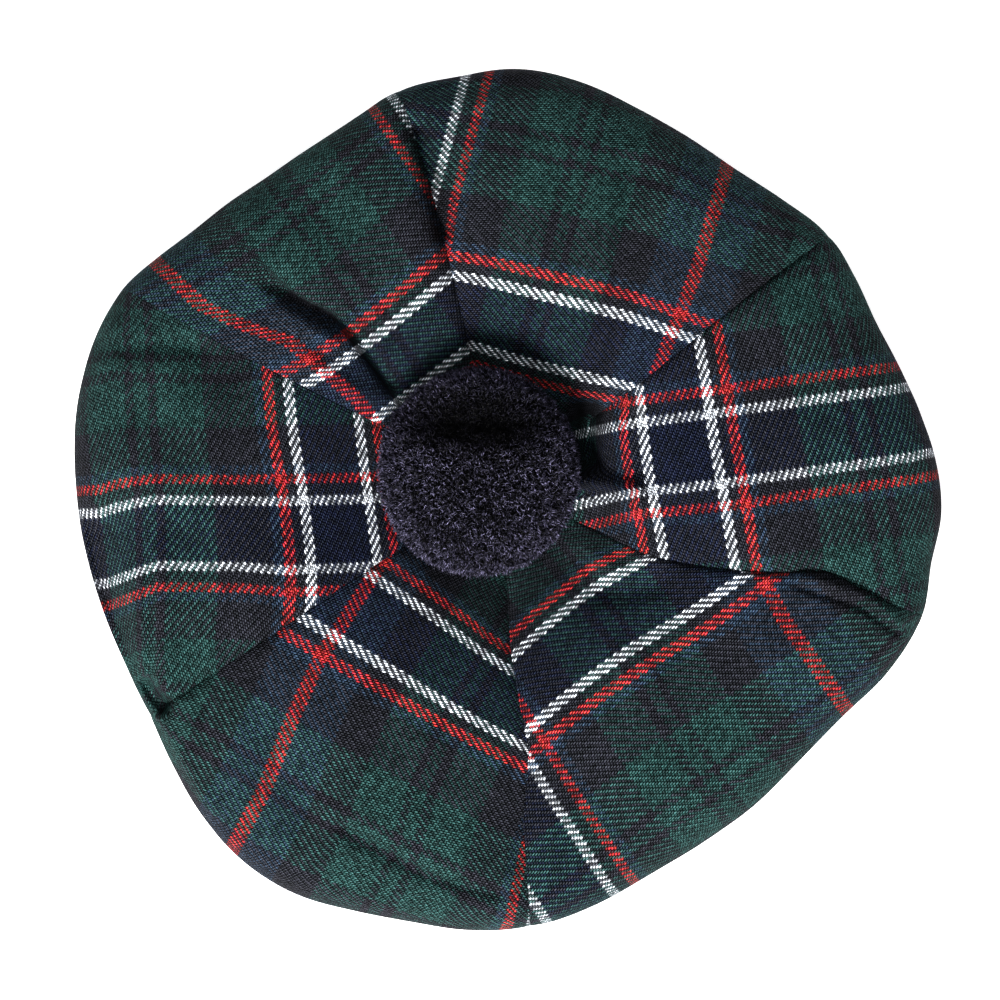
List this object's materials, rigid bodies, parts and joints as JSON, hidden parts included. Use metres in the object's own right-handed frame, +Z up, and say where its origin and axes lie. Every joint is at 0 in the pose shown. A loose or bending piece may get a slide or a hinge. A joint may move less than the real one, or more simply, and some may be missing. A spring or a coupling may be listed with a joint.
{
  "type": "tam o shanter",
  "caption": "Round flat soft cap of sewn tartan cloth gores with a rolled rim, a plain headband and a dark plush pompom in a dip at the middle of the crown.",
  "frame": {"origin": "centre of the bottom of the bounding box, on the surface the hat rests on", "axes": "+Z up out of the crown, +X to the right and +Y to the top of the picture"},
  "size_m": [0.289, 0.2872, 0.0687],
  "materials": {
    "tartan_twill": "woven 2/2 twill in dark green, navy and black with red and white lines",
    "band_twill": "plain dark woven twill",
    "plush": "dense short curly plush, nearly black"
  },
  "bodies": {
    "root": {"gore_1": "tartan_twill", "gore_2": "tartan_twill", "gore_3": "tartan_twill", "gore_4": "tartan_twill", "gore_5": "tartan_twill", "gore_6": "tartan_twill", "headband": "band_twill", "pompom": "plush"}
  },
  "joints": []
}
